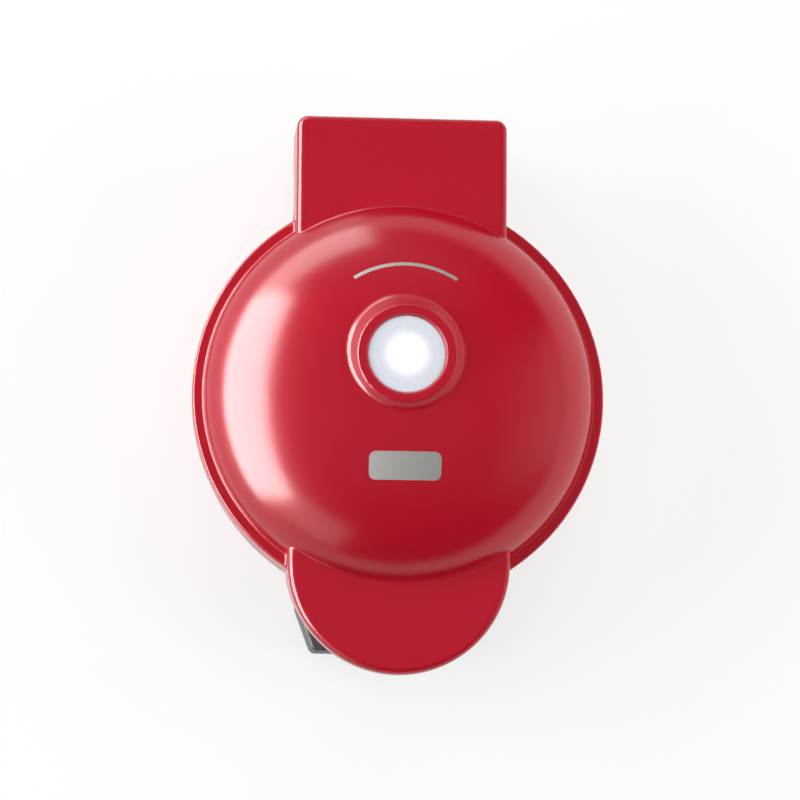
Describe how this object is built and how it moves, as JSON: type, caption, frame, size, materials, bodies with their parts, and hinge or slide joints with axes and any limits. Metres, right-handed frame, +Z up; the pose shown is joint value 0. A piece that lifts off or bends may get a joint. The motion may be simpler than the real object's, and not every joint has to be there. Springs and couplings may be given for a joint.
{
  "type": "mini waffle maker",
  "caption": "Round countertop mini waffle maker: base and domed lid on a rear hinge, half-round handle, two lift-out grid plates with sliding latches, and a round indicator window.",
  "frame": {"origin": "on the table plane under the centre of the dome, the bottom centre of the closed appliance", "axes": "+X to the right seen from the handle, +Y towards the hinge, +Z up"},
  "size_m": [0.135, 0.183, 0.0852],
  "materials": {
    "red_housing": "satin gloss moulded plastic",
    "dark_trim": "fine textured moulded plastic",
    "dark_latch": "fine textured moulded plastic",
    "grid_coating": "non-stick coated die casting",
    "steel": "bright",
    "screw_steel": "zinc plated",
    "heater_steel": "dull sheath",
    "pan_aluminium": "pressed sheet",
    "control_ceramic": "matte",
    "fuse_body": "plated",
    "terminal_white": "moulded",
    "frosted_lens": "frosted, lit from below",
    "white_inner": "moulded",
    "board_green": "circuit board",
    "lamp_clear": "clear",
    "foot_rubber": "matte"
  },
  "bodies": {
    "base": {"base_shell": "red_housing", "bottom_cover": "dark_trim", "base_frame": "dark_trim", "hinge_bracket": "dark_trim", "lower_plate": "grid_coating", "lower_latch_spring": "steel", "base_screw_rear_right": "screw_steel", "base_screw_rear_left": "screw_steel", "base_screw_front_left": "screw_steel", "base_screw_front_right": "screw_steel", "lower_element": "heater_steel", "lower_heat_pan": "pan_aluminium", "thermostat": "control_ceramic", "lower_fuse": "fuse_body", "terminal_block": "terminal_white", "rubber_foot_front_left": "foot_rubber", "rubber_foot_front_right": "foot_rubber", "rubber_foot_rear_left": "foot_rubber", "rubber_foot_rear_right": "foot_rubber"},
    "lid": {"lid_shell": "red_housing", "lid_frame": "dark_trim", "handle_liner": "dark_trim", "upper_plate": "grid_coating", "upper_heat_pan": "pan_aluminium", "upper_element": "heater_steel", "upper_fuse": "fuse_body", "upper_latch_spring": "steel", "indicator_lens": "frosted_lens", "lamp_holder": "white_inner", "lamp_board": "board_green", "indicator_lamp_left": "lamp_clear", "indicator_lamp_right": "lamp_clear", "hinge_pin": "steel", "lid_screw_rear_right": "screw_steel", "lid_screw_rear_left": "screw_steel", "lid_screw_front_left": "screw_steel", "lid_screw_front_right": "screw_steel"},
    "lower_latch": {"lower_latch": "dark_latch"},
    "upper_latch": {"upper_latch": "dark_latch"}
  },
  "joints": [
    {"name": "lid_hinge", "type": "hinge", "parent": "base", "child": "lid", "pos_m": [0, 0.082, 0.05], "axis": [-1, 0, 0], "range_deg": [0, 100]},
    {"name": "lower_latch_slide", "type": "slide", "parent": "base", "child": "lower_latch", "axis": [0, -1, 0], "range_m": [0, 0.0025], "stiffness_N_per_m": 400, "springref_m": -0.002, "deforming": ["lower_latch_spring"]},
    {"name": "upper_latch_slide", "type": "slide", "parent": "lid", "child": "upper_latch", "axis": [0, -1, 0], "range_m": [0, 0.0025], "stiffness_N_per_m": 400, "springref_m": -0.002, "deforming": ["upper_latch_spring"]}
  ]
}
